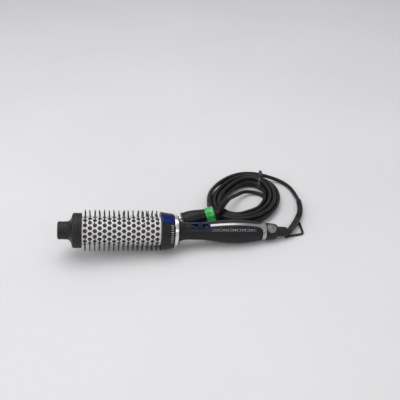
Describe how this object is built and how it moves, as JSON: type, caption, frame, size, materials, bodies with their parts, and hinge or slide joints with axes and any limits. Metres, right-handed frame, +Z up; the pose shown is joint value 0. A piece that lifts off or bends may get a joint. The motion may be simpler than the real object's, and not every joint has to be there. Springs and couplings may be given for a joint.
{
  "type": "hot air brush",
  "caption": "Round hot air brush with a perforated ceramic barrel, nylon pins, a cool tip, a slide switch, a swivel cord with a hanging loop and a coiled mains lead.",
  "frame": {"origin": "middle of the footprint of the brush, its swivel sleeve and its hanging loop, on the surface that it lies on", "axes": "+Z up; +X from the cool tip towards the cord, in plan; the brush's own axis slopes down 5.57 degrees towards +X, because it lies on its pins and on the belly of its handle; +Y towards the coiled cord"},
  "size_m": [0.3849, 0.2018, 0.0687],
  "materials": {
    "ceramic_white": "satin ceramic coat",
    "nylon_black": "satin nylon",
    "matte_black": "fine matte",
    "gloss_black": "satin gloss",
    "blue_chrome": "blue mirror plating",
    "chrome_trim": "mirror plating",
    "badge_metal": "dark satin",
    "steel": "bright",
    "brass": "bright",
    "mica": "flaky mineral board",
    "board_green": "lacquered board",
    "cord_rubber": "satin rubber",
    "green_tape": "glossy vinyl tape",
    "pin_metal": "nickel plating"
  },
  "bodies": {
    "cord_end": {"swivel_sleeve": "matte_black", "slip_contact": "brass", "swivel_elbow": "matte_black", "cord_guard": "cord_rubber", "hanging_loop": "matte_black", "cord_lead": "cord_rubber", "cord_coil": "cord_rubber", "cable_tie": "nylon_black", "cord_tail": "cord_rubber", "plug_guard": "cord_rubber", "plug_body": "gloss_black", "plug_pin_1": "pin_metal", "plug_pin_2": "pin_metal", "plug_tape": "green_tape"},
    "handle": {"mica_board_level": "mica", "mica_board_upright": "mica", "heating_coil": "steel", "heater_shield": "mica", "thermostat": "steel", "thermal_fuse": "ceramic_white", "chrome_ring": "chrome_trim", "socket_duct": "matte_black", "handle_upper_shell": "gloss_black", "handle_lower_shell": "gloss_black", "shell_screw_1": "steel", "shell_screw_2": "steel", "trim_strip": "chrome_trim", "rear_band": "chrome_trim", "switch_bezel": "blue_chrome", "switch_body": "matte_black", "rear_cap": "gloss_black", "badge": "badge_metal", "intake_filter": "steel", "contact_holder": "matte_black", "motor_can": "steel", "motor_mount": "matte_black", "control_board": "board_green"},
    "brush_head": {"barrel": "ceramic_white", "bristle_strip_1": "nylon_black", "bristle_strip_2": "nylon_black", "bristle_strip_3": "nylon_black", "bristle_strip_4": "nylon_black", "bristle_strip_5": "nylon_black", "bristle_strip_6": "nylon_black", "bristle_strip_7": "nylon_black", "bristle_strip_8": "nylon_black", "tip_knob": "matte_black", "tip_collar": "matte_black", "tip_screw": "steel", "head_collar": "gloss_black", "button_spring": "steel"},
    "release_button": {"release_button": "blue_chrome"},
    "switch_slider": {"switch_slider": "matte_black"},
    "fan_rotor": {"motor_shaft": "steel", "fan_impeller": "matte_black"}
  },
  "joints": [
    {"name": "cord_swivel", "type": "hinge", "parent": "cord_end", "child": "handle", "pos_m": [0.13514, -0.00248, 0.01227], "axis": [0.9953, 0, -0.0971], "continuous": true},
    {"name": "head_slide", "type": "slide", "parent": "handle", "child": "brush_head", "axis": [-0.9953, 0, 0.0971], "range_m": [0, 0.13]},
    {"name": "button_press", "type": "slide", "parent": "brush_head", "child": "release_button", "axis": [-0.0956, 0.1736, -0.9802], "range_m": [0, 0.0015], "stiffness_N_per_m": 500, "springref_m": -0.0005},
    {"name": "switch_slide", "type": "slide", "parent": "handle", "child": "switch_slider", "axis": [0.9953, 0, -0.0971], "range_m": [-0.005, 0.005]},
    {"name": "fan_spin", "type": "hinge", "parent": "handle", "child": "fan_rotor", "pos_m": [0.08537, -0.00248, 0.01712], "axis": [0.9953, 0, -0.0971], "continuous": true}
  ]
}
